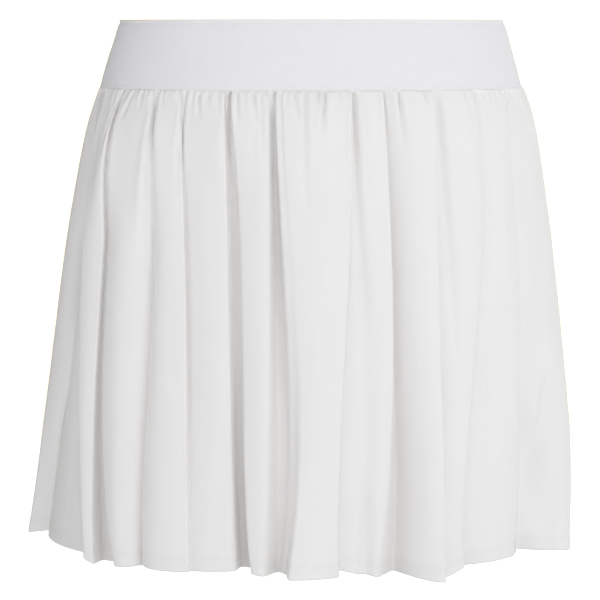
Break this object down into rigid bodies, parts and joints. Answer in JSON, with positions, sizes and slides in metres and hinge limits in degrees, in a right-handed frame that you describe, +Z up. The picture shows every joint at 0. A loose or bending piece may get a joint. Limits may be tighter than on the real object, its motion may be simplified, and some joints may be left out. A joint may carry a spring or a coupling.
{
  "type": "tennis skort",
  "caption": "Pleated tennis skort: a flared skirt gathered into a wide elastic waistband, over plain inner shorts, in its worn form, open at the waist and hem.",
  "frame": {"origin": "centre of the waistband's ring, at the middle of the band's height", "axes": "+Z up through the waist; the front of the skirt faces -Y; +X is towards the wearer's left hip"},
  "size_m": [0.3806, 0.3248, 0.3665],
  "materials": {
    "elastic_band": "matt knitted elastic, cool white",
    "skirt_cloth": "matt fine woven stretch cloth, white",
    "shorts_knit": "matt jersey knit, white"
  },
  "bodies": {
    "root": {"waistband": "elastic_band", "skirt_front": "skirt_cloth", "skirt_back": "skirt_cloth", "shorts_left": "shorts_knit", "shorts_right": "shorts_knit"}
  },
  "joints": []
}
